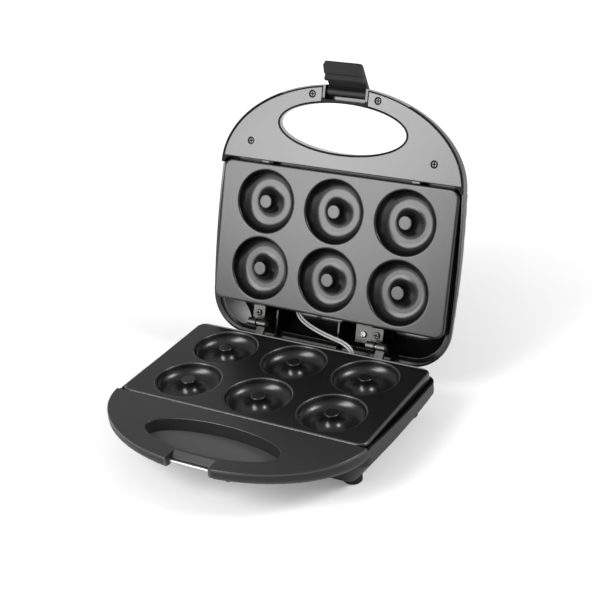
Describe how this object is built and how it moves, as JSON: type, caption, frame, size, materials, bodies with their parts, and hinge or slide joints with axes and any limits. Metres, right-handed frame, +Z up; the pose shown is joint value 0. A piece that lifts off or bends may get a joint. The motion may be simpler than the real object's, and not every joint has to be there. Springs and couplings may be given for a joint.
{
  "type": "doughnut maker",
  "caption": "Electric doughnut maker: hinged lid over a base, facing plates of ring moulds, loop handles, a swing latch and rubber feet.",
  "frame": {"origin": "on the table plane, under the middle of the overall box with the lid open", "axes": "X to the right, Y from the handle to the hinge, Z up"},
  "size_m": [0.245, 0.3054, 0.2809],
  "materials": {
    "nonstick": "dark satin non-stick coating on cast aluminium",
    "tray_steel": "aluminised sheet steel",
    "heater_steel": "dull sheathed heater tube",
    "screw_steel": "zinc plated",
    "hinge_steel": "zinc plated sheet",
    "ceramic": "matt heat-proof moulding",
    "black_plastic": "satin black moulding",
    "satin_plastic": "fine satin black moulding",
    "inlet_plastic": "matt black bush",
    "rubber": "soft black rubber",
    "red_lens": "clear red lens",
    "green_lens": "clear green lens",
    "lead_sleeve": "woven glass sleeve"
  },
  "bodies": {
    "base": {"base_mould_plate": "nonstick", "base_heat_tray": "tray_steel", "base_heater": "heater_steel", "base_terminal_block": "ceramic", "base_heater_clamps": "tray_steel", "base_clamp_screws": "screw_steel", "base_plate_screws": "screw_steel", "base_tray_screws": "screw_steel", "thermostat": "ceramic", "thermal_fuse": "heater_steel", "fuse_clip": "ceramic", "base_shell": "black_plastic", "base_handle_top": "black_plastic", "catch_bar": "screw_steel", "base_handle_screws": "screw_steel", "feet": "rubber", "cord_inlet": "inlet_plastic", "hinge_base_leaf_left": "hinge_steel", "hinge_base_leaf_right": "hinge_steel", "hinge_pin_left": "hinge_steel", "hinge_pin_right": "hinge_steel", "hinge_base_screws": "screw_steel", "lid_lead": "lead_sleeve"},
    "lid": {"lid_mould_plate": "nonstick", "lid_heat_tray": "tray_steel", "lid_heater": "heater_steel", "lid_terminal_block": "ceramic", "lid_heater_clamps": "tray_steel", "lid_clamp_screws": "screw_steel", "lid_plate_screws": "screw_steel", "lid_tray_screws": "screw_steel", "hinge_lid_leaf_left": "hinge_steel", "hinge_lid_leaf_right": "hinge_steel", "hinge_lid_screws": "screw_steel", "lid_shell": "black_plastic", "lid_handle_cover": "satin_plastic", "lid_handle_screws": "screw_steel", "earth_screw": "screw_steel", "power_light": "red_lens", "ready_light": "green_lens", "light_holder": "ceramic", "latch_pin": "hinge_steel"},
    "latch": {"latch": "black_plastic"}
  },
  "joints": [
    {"name": "lid_hinge", "type": "hinge", "parent": "base", "child": "lid", "pos_m": [0, 0.07095, 0.046], "axis": [1, 0, 0], "range_deg": [0, 108.7], "deforming": ["lid_lead"]},
    {"name": "latch_pivot", "type": "hinge", "parent": "lid", "child": "latch", "pos_m": [0, 0.14647, 0.25038], "axis": [1, 0, 0], "range_deg": [-28, 48]}
  ]
}
